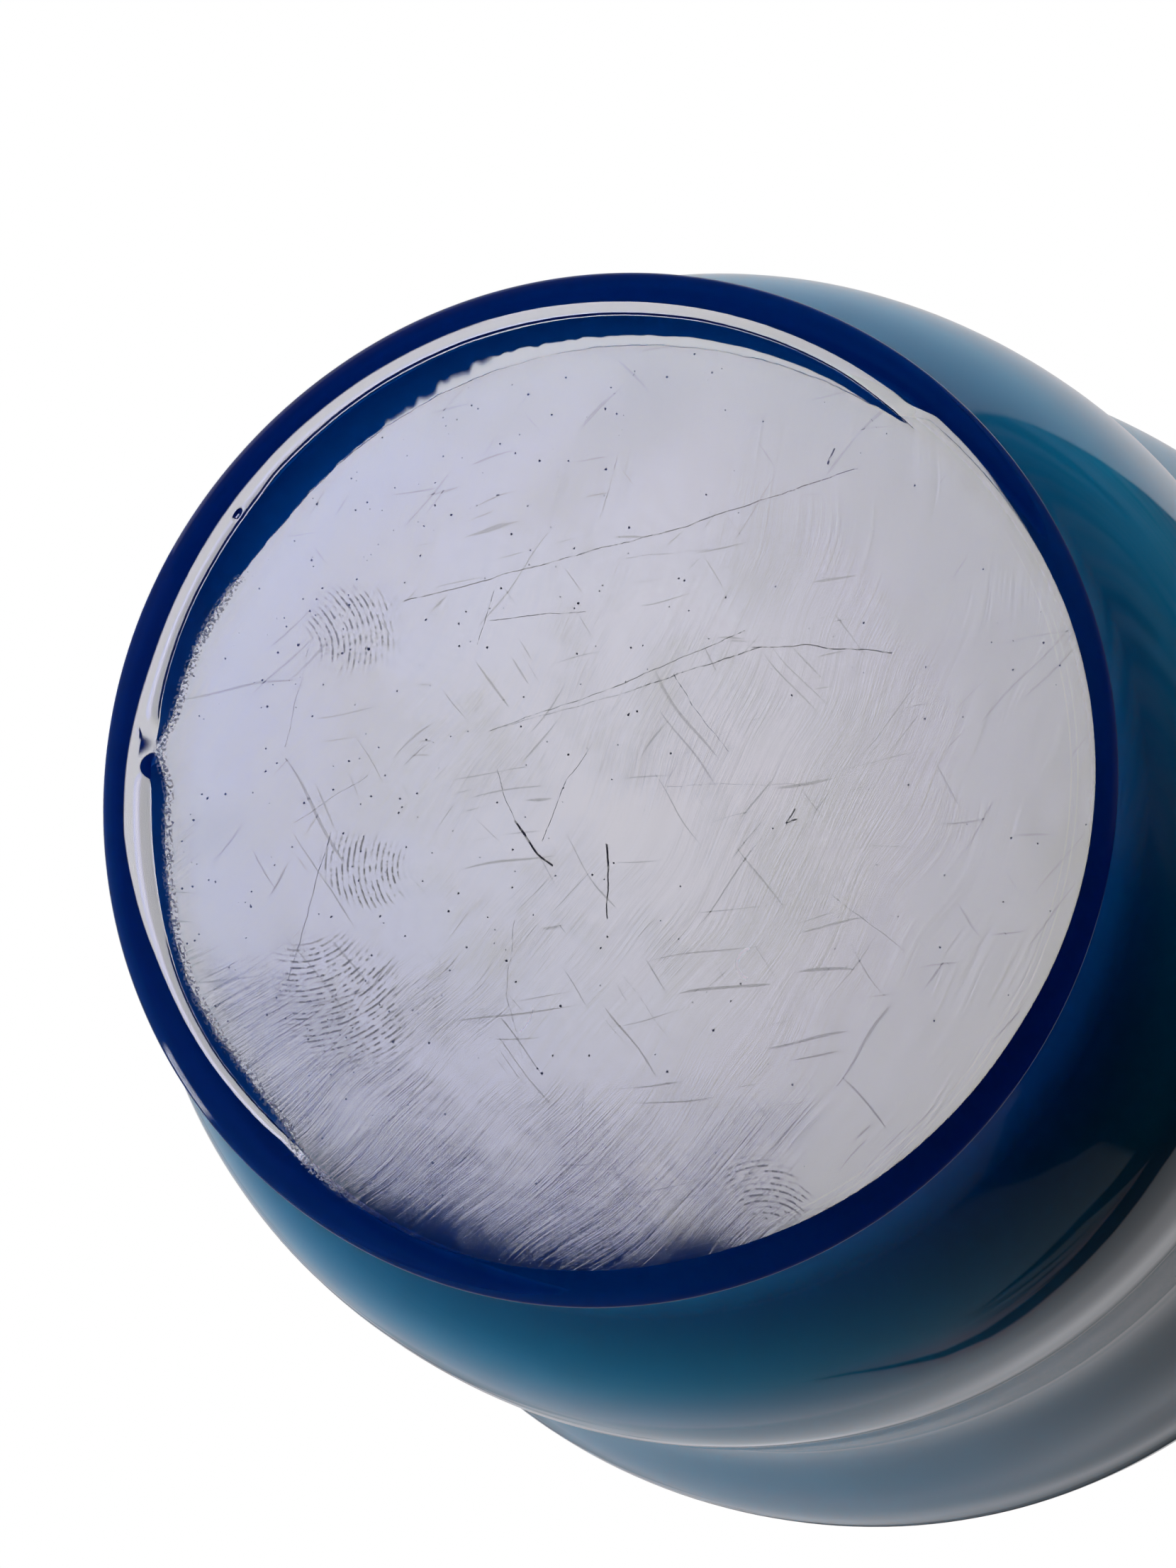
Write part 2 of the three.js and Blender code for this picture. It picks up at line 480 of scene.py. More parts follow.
def ramp(nt, value, lo, hi, to_lo=0.0, to_hi=1.0, smooth=True):
    n = add(nt, "ShaderNodeMapRange", interpolation_type="SMOOTHSTEP" if smooth else "LINEAR")
    put(nt, n.inputs["Value"], value)
    for k, v in (("From Min", lo), ("From Max", hi), ("To Min", to_lo), ("To Max", to_hi)):
        put(nt, n.inputs[k], v)
    return n.outputs[0]


def blend(nt, factor, a, b, kind="RGBA"):
    n = add(nt, "ShaderNodeMix", data_type=kind)
    tag = {"RGBA": "_Color", "FLOAT": "_Float", "VECTOR": "_Vector"}[kind]
    pick = lambda key: next(s for s in n.inputs if s.identifier == key + tag)
    put(nt, next(s for s in n.inputs if s.identifier == "Factor_Float"), factor)
    put(nt, pick("A"), a)
    put(nt, pick("B"), b)
    return next(s for s in n.outputs if s.identifier == "Result" + tag)


def noise(nt, vector, scale, detail=2.0, rough=0.5, distort=0.0, colour=False):
    n = add(nt, "ShaderNodeTexNoise")
    put(nt, n.inputs["Vector"], vector)
    n.inputs["Scale"].default_value = scale
    n.inputs["Detail"].default_value = detail
    n.inputs["Roughness"].default_value = rough
    n.inputs["Distortion"].default_value = distort
    return n.outputs["Color" if colour else "Fac"]


def in_mm(nt):
    """Object position in mm, with x along SIDE and y along ACROSS."""
    tc = add(nt, "ShaderNodeTexCoord")
    m = add(nt, "ShaderNodeMapping", vector_type="POINT")
    nt.links.new(tc.outputs["Object"], m.inputs["Vector"])
    m.inputs["Rotation"].default_value = (0, 0, -SIDE_AZ)
    m.inputs["Scale"].default_value = (1000, 1000, 1000)
    return m.outputs[0]


def turned(nt, vector, degrees, scale=(1, 1, 1), at=(0, 0, 0)):
    """Coordinates along and across a direction given from SIDE."""
    m = add(nt, "ShaderNodeMapping", vector_type="POINT")
    put(nt, m.inputs["Vector"], vector)
    m.inputs["Rotation"].default_value = (0, 0, -math.radians(degrees))
    m.inputs["Location"].default_value = at
    s = add(nt, "ShaderNodeMapping", vector_type="POINT")
    nt.links.new(m.outputs[0], s.inputs["Vector"])
    s.inputs["Scale"].default_value = scale
    return s.outputs[0]


def attribute(nt, name):
    return add(nt, "ShaderNodeAttribute", attribute_type="GEOMETRY", attribute_name=name).outputs["Fac"]


# -------------------------------------------------------------- materials ----

# Wear on the ground flat: strokes from one point to another, in mm along SIDE and
# ACROSS, with half width and strength.
STROKES = [
    ((-22.2, -4.7), (-4.6, -21.6), 0.035, 0.45), ((-4.6, -21.6), (5.4, -32.5), 0.035, 0.50),
    ((-10.2, 0.7), (-2.9, -7.5), 0.030, 0.40), ((-2.9, -7.5), (4.1, -16.6), 0.035, 0.45),
    ((-9.3, -0.2), (-1.2, -8.2), 0.025, 0.35), ((-1.2, -8.2), (6.1, -16.2), 0.035, 0.50),
    ((5.4, -15.7), (9.1, -18.0), 0.030, 0.45), ((9.1, -18.0), (15.7, -21.1), 0.035, 0.55),
    ((-8.0, 3.1), (-4.5, 6.0), 0.025, 0.50), ((-4.5, 6.0), (-1.5, 7.3), 0.050, 1.00), ((-1.5, 7.3), (0.2, 7.5), 0.055, 1.00),
    ((-2.1, -2.5), (-2.4, 1.0), 0.022, 0.50), ((-2.4, 1.0), (-1.7, 6.2), 0.024, 0.60),
    ((3.1, 3.8), (4.4, 5.6), 0.050, 1.00), ((4.4, 5.6), (6.3, 9.0), 0.032, 0.80),
    ((15.3, -6.3), (15.2, -4.9), 0.045, 0.90), ((15.2, -4.9), (15.9, -5.6), 0.045, 0.90),
    ((-15.8, -9.3), (-14.8, -4.9), 0.022, 0.50), ((-14.9, -7.0), (-11.0, -9.9), 0.025, 0.55), ((-11.0, -9.9), (-8.2, -11.5), 0.022, 0.45),
    ((0.9, -10.7), (3.5, -9.3), 0.025, 0.55), ((3.5, -9.3), (8.1, -7.6), 0.020, 0.45),
    ((-12.7, -24.2), (-11.1, -18.7), 0.022, 0.35), ((3.0, -33.0), (3.1, -31.6), 0.040, 0.80),
    ((21.6, -1.8), (29.2, -0.8), 0.025, 0.35), ((-17.5, 14.3), (-14.2, 26.7), 0.022, 0.65),
    ((-0.3, 12.8), (2.3, 18.4), 0.022, 0.35), ((2.3, 18.4), (6.2, 22.2), 0.020, 0.35),
    ((-8.1, -16.5), (-0.5, -21.9), 0.020, 0.30), ((5.0, -2.6), (15.8, -8.9), 0.018, 0.28),
    ((-20.6, 15.2), (-17.2, 8.8), 0.020, 0.40), ((11.6, 21.0), (13.9, 26.4), 0.020, 0.32),
    ((-27.2, 2.1), (-24.5, 10.2), 0.020, 0.40), ((9.8, 12.2), (16.6, 15.1), 0.018, 0.28),
]
# Finger marks: centre, half size, direction of the ridges' centre.
FINGER_MARKS = [
    ((-9.5, 26.0), (8.5, 6.0), (-17.0, 20.0)), ((28.8, 21.4), (4.6, 3.0), (31.5, 25.5)),
    ((-25.0, -0.5), (4.8, 5.2), (-29.0, 4.0)), ((-13.5, 15.5), (4.5, 3.5), (-8.0, 12.0)),
    
]


def blue_glass_material():
    m, nt, out = new_material("blue_glass")
    p = add(nt, "ShaderNodeBsdfPrincipled")
    plain = add(nt, "ShaderNodeBsdfPrincipled")
    for shader in (p, plain):
        shader.inputs["Transmission Weight"].default_value = 1.0
        shader.inputs["IOR"].default_value = 1.5
    plain.inputs["Base Color"].default_value = (1, 1, 1, 1)
    plain.inputs["Roughness"].default_value = 0.0
    either = add(nt, "ShaderNodeMixShader")
    a = add(nt, "ShaderNodeVolumeAbsorption")
    a.inputs["Color"].default_value = (0.0, 0.8925, 0.949, 1)
    a.inputs["Density"].default_value = 1200.0
    put(nt, either.inputs[0], attribute(nt, "underside"))
    nt.links.new(plain.outputs[0], either.inputs[1])
    nt.links.new(p.outputs[0], either.inputs[2])
    nt.links.new(either.outputs[0], out.inputs["Surface"])
    nt.links.new(a.outputs[0], out.inputs["Volume"])

    def axis(socket, *names):
        sep = add(nt, "ShaderNodeSeparateXYZ")
        nt.links.new(socket, sep.inputs[0])
        return [sep.outputs[n] for n in names]

    def join(x, y, z=0.0):
        n = add(nt, "ShaderNodeCombineXYZ")
        for sock, v in zip(n.inputs, (x, y, z)):
            put(nt, sock, v)
        return n.outputs[0]

    pos = in_mm(nt)
    u, v = axis(pos, "X", "Y")
    radius = vec(nt, "LENGTH", join(u, v))
    turn = calc(nt, "ARCTAN2", v, u)
    under = attribute(nt, "underside")
    past = attribute(nt, "past_flat")
    fine = noise(nt, pos, 3.2, 3.0, 0.7)
    rag_side = ramp(nt, calc(nt, "ABSOLUTE", calc(nt, "SUBTRACT", turn, 2.40)), 0.95, 0.60)
    ragged = calc(nt, "MULTIPLY", calc(nt, "SUBTRACT", fine, 0.5), calc(nt, "MULTIPLY_ADD", rag_side, 1.5, 0.15))
    on_flat = calc(nt, "MULTIPLY", under, ramp(nt, calc(nt, "ADD", past, ragged), 0.03, -0.05))

    # brush lines, in wide arcs
    soft = vec(nt, "SCALE", vec(nt, "SUBTRACT", noise(nt, pos, 0.06, 1.0, colour=True), (0.5, 0.5, 0.5)), scale=5.0)
    cu, cv = axis(vec(nt, "ADD", vec(nt, "SUBTRACT", pos, (-85.2, 1.3, 0.0)), soft), "X", "Y")
    reach = vec(nt, "LENGTH", join(cu, cv))
    swing = calc(nt, "MULTIPLY", calc(nt, "ARCTAN2", cv, cu), 90.0)
    arcs = noise(nt, join(calc(nt, "MULTIPLY", swing, 0.10), calc(nt, "MULTIPLY", reach, 3.4)), 1.0, 3.0, 0.72)
    broad = noise(nt, join(calc(nt, "MULTIPLY", swing, 0.05), calc(nt, "MULTIPLY", reach, 0.55)), 1.0, 2.0, 0.6)
    patches = noise(nt, pos, 0.09, 3.0, 0.6, 0.4)
    lined = ramp(nt, patches, 0.36, 0.66)

    # hair scratches in several directions, from stretched noise
    hairs = 0.0
    for degrees, seed, level in ((-38, 3, 0.765), (24, 19, 0.78), (-80, 41, 0.77)):
        h = noise(nt, turned(nt, vec(nt, "ADD", pos, soft), degrees, (0.075, 3.2, 1), (seed, seed * 2, 0)), 1.0, 0.0)
        hairs = calc(nt, "MULTIPLY_ADD", ramp(nt, h, level, level + 0.05), 0.22, hairs)

    # the strokes
    wob = vec(nt, "ADD", pos, vec(nt, "SCALE", vec(nt, "SUBTRACT", noise(nt, pos, 0.35, 2.0, colour=True), (0.5, 0.5, 0.5)), scale=0.55))
    dots_in_line = ramp(nt, noise(nt, pos, 1.6, 2.0, 0.6), 0.34, 0.56, 0.35, 1.0)
    marks = 0.0
    for (x0, y0), (x1, y1), half, strength in STROKES:
        length = math.hypot(x1 - x0, y1 - y0)
        ex, ey = (x1 - x0) / length, (y1 - y0) / length
        half *= 1.7 if strength >= 0.8 else 1.25
        along = calc(nt, "COMPARE", vec(nt, "DOT_PRODUCT", wob, (ex, ey, 0)), (x0 + x1) / 2 * ex + (y0 + y1) / 2 * ey, length / 2)
        near = calc(nt, "COMPARE", vec(nt, "DOT_PRODUCT", wob, (-ey, ex, 0)), -x0 * ey + y0 * ex, half)
        marks = calc(nt, "MULTIPLY_ADD", calc(nt, "MULTIPLY", along, near), strength, marks)
    marks = calc(nt, "MULTIPLY", marks, dots_in_line)

    # pits and specks, denser towards the side away from the view's near edge
    specks = 0.0
    dense = ramp(nt, calc(nt, "MULTIPLY_ADD", v, -0.25, u), 12.0, -34.0, 0.05, 0.30)
    for scale, size, seed, share in ((0.75, 0.12, 0.0, 0.40), (1.9, 0.20, 5.0, 1.3)):
        vo = add(nt, "ShaderNodeTexVoronoi")
        put(nt, vo.inputs["Vector"], vec(nt, "ADD", join(u, v), (seed, seed, 0)))
        vo.inputs["Scale"].default_value = scale
        r_, g_ = axis(vo.outputs["Color"], "X", "Y")
        big = calc(nt, "MULTIPLY", g_, size)
        spot = calc(nt, "LESS_THAN", vo.outputs["Distance"], calc(nt, "MULTIPLY_ADD", calc(nt, "SUBTRACT", fine, 0.5), size * 0.5, big))
        specks = calc(nt, "MAXIMUM", specks, calc(nt, "MULTIPLY", spot, calc(nt, "LESS_THAN", r_, calc(nt, "MULTIPLY", dense, share))))

    # finger marks
    prints = 0.0
    ridge_warp = calc(nt, "MULTIPLY", noise(nt, pos, 0.22, 1.0), 7.0)
    gaps = ramp(nt, noise(nt, pos, 1.1, 2.0, 0.7), 0.36, 0.60)
    for (x, y), (hu, hv), (ox, oy) in FINGER_MARKS:
        q = vec(nt, "DIVIDE", vec(nt, "SUBTRACT", pos, (x, y, 0)), (hu, hv, 1000.0))
        inside = ramp(nt, calc(nt, "ADD", vec(nt, "LENGTH", q), calc(nt, "MULTIPLY_ADD", patches, 0.9, -0.45)), 1.05, 0.55)
        far = vec(nt, "DISTANCE", join(u, v), (ox, oy, 0))
        wave = calc(nt, "SINE", calc(nt, "MULTIPLY_ADD", far, 2 * math.pi / 0.47, ridge_warp))
        prints = calc(nt, "MAXIMUM", prints, calc(nt, "MULTIPLY", inside, ramp(nt, wave, -0.1, 0.8)))
    prints = calc(nt, "MULTIPLY", prints, gaps)

    # broken, chattered edge of the flat
    chip = ramp(nt, calc(nt, "ABSOLUTE", calc(nt, "ADD", past, 0.15)), 0.85, 0.1)
    chips = calc(nt, "MULTIPLY", calc(nt, "MULTIPLY", chip, rag_side), ramp(nt, noise(nt, pos, 3.6, 2.0, 0.7), 0.47, 0.56))
    chips = calc(nt, "MULTIPLY", chips, under)

    # two faint grooves near the rim on the near side, shown only as painted light-blue lines of light in the tint
    groove_glint = 0.0
    ring_r = calc(nt, "MULTIPLY_ADD", calc(nt, "COSINE", calc(nt, "ADD", turn, math.radians(25))), 0.62, 38.22)
    near_side = ramp(nt, calc(nt, "ABSOLUTE", calc(nt, "ADD", turn, 0.10)), 1.15, 0.75)
    for shift, half, strength in ((0.0, 0.045, 1.0), (0.55, 0.05, 0.8)):
        groove_glint = calc(nt, "MULTIPLY_ADD", ramp(nt, calc(nt, "ABSOLUTE", calc(nt, "SUBTRACT", calc(nt, "SUBTRACT", radius, shift), ring_r)), half * 1.6, half * 0.4), strength, groove_glint)
    groove_glint = calc(nt, "MULTIPLY", groove_glint, near_side)

    # two small nicks, painted as bright arcs of light in the tint
    nick_glint = 0.0
    for (x, y), reach_mm, half, lo, hi, way in (((18.7, 6.2), 1.25, 0.14, -1.75, 0.85, -1), ((1.6, 19.4), 3.4, 0.06, -0.35, 0.30, 1)):
        rel = vec(nt, "MULTIPLY", vec(nt, "SUBTRACT", join(u, v), (x, y, 0)), (way, way, way))
        ru, rv = axis(rel, "X", "Y")
        arc = calc(nt, "COMPARE", vec(nt, "LENGTH", rel), reach_mm, half)
        part = calc(nt, "COMPARE", calc(nt, "ARCTAN2", rv, ru), (lo + hi) / 2, (hi - lo) / 2)
        nick_glint = calc(nt, "MAXIMUM", nick_glint, calc(nt, "MULTIPLY", arc, part))

    # deep blue of the thick foot behind the ground face
    outer_part = ramp(nt, calc(nt, "ADD", radius, calc(nt, "MULTIPLY_ADD", patches, 14.0, -7.0)), 12.0, 35.0)
    deep = blend(nt, outer_part, (0.004, 0.012, 0.070, 1), (0.20, 0.58, 0.74, 1))
    # painted highlight: pale blue lines along the two grooves
    deep = blend(nt, calc(nt, "MULTIPLY", groove_glint, 0.8), deep, (0.30, 0.80, 1.0, 1))
    # painted highlight: bright arcs at the two nicks
    deep = blend(nt, nick_glint, deep, (0.55, 0.90, 1.0, 1))
    put(nt, p.inputs["Base Color"], blend(nt, on_flat, (1, 1, 1, 1), deep))

    # roughness: polish, haze and wear
    haze = calc(nt, "MULTIPLY", ramp(nt, patches, 0.42, 0.72), 0.03)
    r0 = calc(nt, "ADD", calc(nt, "MULTIPLY_ADD", arcs, 0.10, 0.03), haze)
    r1 = calc(nt, "MAXIMUM", r0, calc(nt, "MULTIPLY", prints, 0.34))
    r2 = calc(nt, "MAXIMUM", r1, calc(nt, "MULTIPLY", hairs, 0.9))
    r3 = calc(nt, "MAXIMUM", r2, calc(nt, "MULTIPLY", marks, 0.72))
    r4 = calc(nt, "MAXIMUM", r3, calc(nt, "MULTIPLY", specks, 0.70))
    wear = calc(nt, "MULTIPLY", calc(nt, "MINIMUM", r4, 0.75), on_flat)
    put(nt, p.inputs["Roughness"], calc(nt, "MAXIMUM", wear, calc(nt, "MULTIPLY", chips, 0.6)))

    # the worn marks mirror less than the polish around them
    sheen = calc(nt, "MULTIPLY_ADD", calc(nt, "SUBTRACT", arcs, 0.5), calc(nt, "MULTIPLY_ADD", lined, 0.26, 0.16), 0.95)
    for mark, share in ((hairs, 0.45), (marks, 0.70), (specks, 0.75), (prints, 0.22)):
        sheen = calc(nt, "MULTIPLY", sheen, calc(nt, "SUBTRACT", 1.0, calc(nt, "MULTIPLY", mark, share)))
    sheen = calc(nt, "MAXIMUM", calc(nt, "MINIMUM", sheen, 1.0), 0.12)
    sheen = blend(nt, on_flat, 1.0, sheen, "FLOAT")
    put(nt, p.inputs["Specular Tint"], join(sheen, sheen, sheen))

    # relief of the brush lines
    relief = calc(nt, "ADD", calc(nt, "MULTIPLY", arcs, calc(nt, "MULTIPLY_ADD", lined, 1.0, 0.35)), calc(nt, "MULTIPLY", broad, 0.9))
    bump = add(nt, "ShaderNodeBump")
    bump.inputs["Strength"].default_value = 1.0
    bump.inputs["Distance"].default_value = 1.0
    put(nt, bump.inputs["Height"], calc(nt, "MULTIPLY", calc(nt, "MULTIPLY", relief, on_flat), 0.0000110))
    nt.links.new(bump.outputs[0], p.inputs["Normal"])
    return m


def opal_material(name, gloss):
    m, nt, out = new_material(name)
    p = add(nt, "ShaderNodeBsdfPrincipled")
    pos = in_mm(nt)
    cloud = noise(nt, pos, 0.045, 3.0, 0.55, 0.6)
    white = blend(nt, ramp(nt, cloud, 0.3, 0.7), (0.84, 0.865, 0.87, 1), (0.875, 0.87, 0.85, 1))
    if gloss:
        put(nt, p.inputs["Base Color"], white)
        put(nt, p.inputs["Roughness"], calc(nt, "MULTIPLY_ADD", noise(nt, pos, 0.3, 2.0), 0.06, 0.05))
        p.inputs["IOR"].default_value = 1.5
    else:
        # where the blue glass lies on it the opal has taken up some of the blue; lower down, from about 18 to 31 mm, a
        # darker blue is painted in as shade near the foot
        height = add(nt, "ShaderNodeSeparateXYZ")
        nt.links.new(pos, height.inputs[0])
        stain_and_shade = blend(nt, ramp(nt, cloud, 0.3, 0.7), (0.05, 0.475, 0.60, 1), (0.06, 0.50, 0.62, 1))
        # painted shade: darker blue low on the body, near the foot
        stain_and_shade = blend(nt, ramp(nt, height.outputs[2], 21.0, 31.0), (0.02, 0.30, 0.40, 1), stain_and_shade)
        put(nt, p.inputs["Base Color"], blend(nt, ramp(nt, height.outputs[2], 18.2, 21.0), white, stain_and_shade))
        p.inputs["Roughness"].default_value = 0.5
        p.inputs["Specular IOR Level"].default_value = 0.0
    nt.links.new(p.outputs[0], out.inputs["Surface"])
    return m


glass.data.materials.append(blue_glass_material())
lining.data.materials.append(opal_material("opal_glass_cased", False))
lining.data.materials.append(opal_material("opal_glass_inside", True))
for piece, nodes, slot in ((glass, ("blue_casing", "foot"), "casing_glass"), (lining, ("opal_lining",), "opal_glass")):
    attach(piece, "root")
    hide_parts(*nodes)


# ------------------------------------------------------- stage and lights ----

def stage_plane(name, centre, towards, size, up=UP):
    """A rectangular card that faces a point."""
    mesh = bpy.data.meshes.new(name)
    w, h = size[0] / 2, size[1] / 2
    mesh.from_pydata([(-w, -h, 0), (w, -h, 0), (w, h, 0), (-w, h, 0)], [], [(0, 1, 2, 3)])
    uv = mesh.uv_layers.new(name="card")
    for loop, c in zip(uv.data, ((0, 0), (1, 0), (1, 1), (0, 1))):
        loop.uv = c
    o = bpy.data.objects.new(name, mesh)
    scene.collection.objects.link(o)
    z = (Vector(towards) - Vector(centre)).normalized()
    x = up.cross(z)
    x = x.normalized() if x.length > 1e-6 else Vector((1, 0, 0))
    y = z.cross(x)
    o.matrix_world = Matrix.Translation(centre) @ Matrix((x, y, z)).transposed().to_4x4()
    return o


def card_material(name, colour, strength, soft=0.12):
    """An emitting card with soft edges, as a diffused box is."""
    m, nt, out = new_material(name)
    uv = add(nt, "ShaderNodeUVMap", uv_map="card")
    sep = add(nt, "ShaderNodeSeparateXYZ")
    nt.links.new(uv.outputs[0], sep.inputs[0])
    edges = [ramp(nt, calc(nt, "PINGPONG", sep.outputs[axis], 0.5), 0.0, soft) for axis in (0, 1)]
    em = add(nt, "ShaderNodeEmission")
    em.inputs["Color"].default_value = (*colour, 1)
    put(nt, em.inputs["Strength"], calc(nt, "MULTIPLY", calc(nt, "MULTIPLY", *edges), strength))
    nt.links.new(em.outputs[0], out.inputs["Surface"])
    return m


def card(name, direction, distance, size, colour, strength, soft=0.12, up=UP, target=(0, 0, 0), mirrored=True):
    centre = Vector(target) + Vector(direction).normalized() * distance
    o = stage_plane(name, centre, target, size, up)
    o.data.materials.append(card_material(name, colour, strength, soft))
    o.visible_camera = False
    o.visible_shadow = False
    o.visible_glossy = mirrored
    return o


# The main soft box, which the ground base mirrors towards the camera. Its lower
# edge is mirrored across the low side of the base.
KEY_DIST = 1.10
key_dir = Vector((-TO_CAM.x, -TO_CAM.y, TO_CAM.z)).normalized()
key_a = ACROSS.cross(key_dir).normalized()           # towards the picture's upper left, mirrored
key_edge_turn = math.radians(14.5)
key_right = -(key_a * math.cos(key_edge_turn) + ACROSS * math.sin(key_edge_turn))
key_up = key_dir.cross(key_right)
if key_up.dot(ACROSS) > 0:
    key_up = -key_up
KEY_W, KEY_H, KEY_SOFT = 0.72, 0.60, 0.032
edge_point = key_a * -0.025 + ACROSS * 0.090           # on the mirrored lower edge
key_centre = key_dir * KEY_DIST + edge_point + key_up * (KEY_H / 2 - KEY_H * KEY_SOFT * 0.5) + key_right * -0.03
key = stage_plane("soft_box", key_centre, key_centre - key_dir, (KEY_W, KEY_H), key_up)
key.visible_camera = key.visible_shadow = False


def key_material():
    """White diffuser with a soft edge; the light falls off from a warm centre to a
    dimmer border, slightly cooler to the picture's left."""
    m, nt, out = new_material("soft_box")
    uv = add(nt, "ShaderNodeUVMap", uv_map="card")
    sep = add(nt, "ShaderNodeSeparateXYZ")
    nt.links.new(uv.outputs[0], sep.inputs[0])
    ex = ramp(nt, calc(nt, "PINGPONG", sep.outputs[0], 0.5), 0.0, 0.10)
    ey = ramp(nt, calc(nt, "PINGPONG", sep.outputs[1], 0.5), 0.0, KEY_SOFT)
    # position as mirrored on the base, in mm, right and down in the picture
    at = add(nt, "ShaderNodeNewGeometry").outputs["Position"]
    spread = (1 + KEY_DIST / DIST) * MM
    du = -key_a / spread
    dv = ACROSS / spread
    right, down = du * math.cos(ROLL) - dv * math.sin(ROLL), du * math.sin(ROLL) + dv * math.cos(ROLL)
    mid = key_dir * KEY_DIST
    x = calc(nt, "SUBTRACT", vec(nt, "DOT_PRODUCT", at, tuple(right)), mid.dot(right))
    y = calc(nt, "SUBTRACT", vec(nt, "DOT_PRODUCT", at, tuple(down)), mid.dot(down))
    gx = calc(nt, "POWER", calc(nt, "ABSOLUTE", calc(nt, "MULTIPLY", calc(nt, "SUBTRACT", x, 3.4), 1 / 19.5)), 2.0)
    gy = calc(nt, "POWER", calc(nt, "ABSOLUTE", calc(nt, "MULTIPLY", calc(nt, "ADD", y, 6.0), 1 / 32.0)), 2.0)
    core = calc(nt, "EXPONENT", calc(nt, "MULTIPLY", calc(nt, "ADD", gx, gy), -1.0))
    tilt = calc(nt, "MULTIPLY_ADD", x, -0.040, calc(nt, "MULTIPLY", y, -0.016))
    tone = calc(nt, "MULTIPLY_ADD", core, 4.6, calc(nt, "ADD", calc(nt, "MAXIMUM", calc(nt, "MINIMUM", tilt, 1.8), -1.8), 11.7))
    cloud = calc(nt, "MULTIPLY_ADD", noise(nt, at, 7.0, 2.0, 0.55), 22.0, -11.0)
    r = calc(nt, "ADD", calc(nt, "SQRT", calc(nt, "ADD", calc(nt, "MULTIPLY", x, x), calc(nt, "MULTIPLY", y, y))), cloud)
    mid_ring = calc(nt, "MULTIPLY", ramp(nt, r, -4.0, 20.0), ramp(nt, r, 42.0, 24.0))
    left = ramp(nt, x, 16.0, -24.0)
    cool = calc(nt, "MULTIPLY", mid_ring, calc(nt, "MULTIPLY_ADD", left, 0.60, 0.40))
    outer = ramp(nt, r, 20.0, 42.0)
    shade = blend(nt, left, (1.0, 0.945, 0.97, 1), (0.99, 0.975, 1.0, 1))
    shade = blend(nt, outer, shade, blend(nt, left, (1.0, 0.98, 0.90, 1), (1.0, 0.985, 0.94, 1)))
    shade = blend(nt, cool, shade, (0.975, 0.995, 1.22, 1))
    em = add(nt, "ShaderNodeEmission")
    put(nt, em.inputs["Color"], shade)
    put(nt, em.inputs["Strength"], calc(nt, "MULTIPLY", calc(nt, "MULTIPLY", ex, ey), tone))
    nt.links.new(em.outputs[0], out.inputs["Surface"])
    return m


key.data.materials.append(key_material())

# Large side panels light the glass; they are set so that it doesn't mirror them.
card("side_panel_left", heading(119, -14), 1.3, (1.2, 1.0), (1.0, 1.0, 1.0), 10.5, soft=0.25, mirrored=False)
card("side_panel_right", heading(-112, -14), 1.3, (1.2, 1.0), (1.0, 1.0, 1.0), 7.4, soft=0.25, mirrored=False)
card("back_panel", heading(180, -20), 1.3, (0.9, 0.8), (1.0, 1.0, 1.0), 3.0, soft=0.25, mirrored=False)
card("front_panel", heading(20, -8), 1.3, (1.2, 1.0), (1.0, 1.0, 1.0), 0.12, soft=0.25, mirrored=False)
# A strip light and an overhead box, which the glass does mirror.
card("strip_light", heading(129, -2), 1.4, (0.22, 0.80), (1.0, 1.0, 1.0), 5.0, soft=0.2)
card("top_box", heading(180, 50), 1.3, (0.75, 0.55), (1.0, 0.99, 0.98), 2.5, soft=0.15)


def curve(nt, value, points):
    """A run of straight lines through (value, result) points."""
    x0, x1 = points[0][0], points[-1][0]
    top = max(y for _, y in points)
    n = add(nt, "ShaderNodeFloatCurve")
    put(nt, n.inputs["Value"], ramp(nt, value, x0, x1, smooth=False))
    c = n.mapping.curves[0]
    xy = [((x - x0) / (x1 - x0), y / top) for x, y in points]
    c.points[0].location, c.points[1].location = xy[0], xy[-1]
    for q in xy[1:-1]:
        c.points.new(*q)
    for q in c.points:
        q.handle_type = "VECTOR"
    n.mapping.update()
    return calc(nt, "MULTIPLY", n.outputs[0], top)


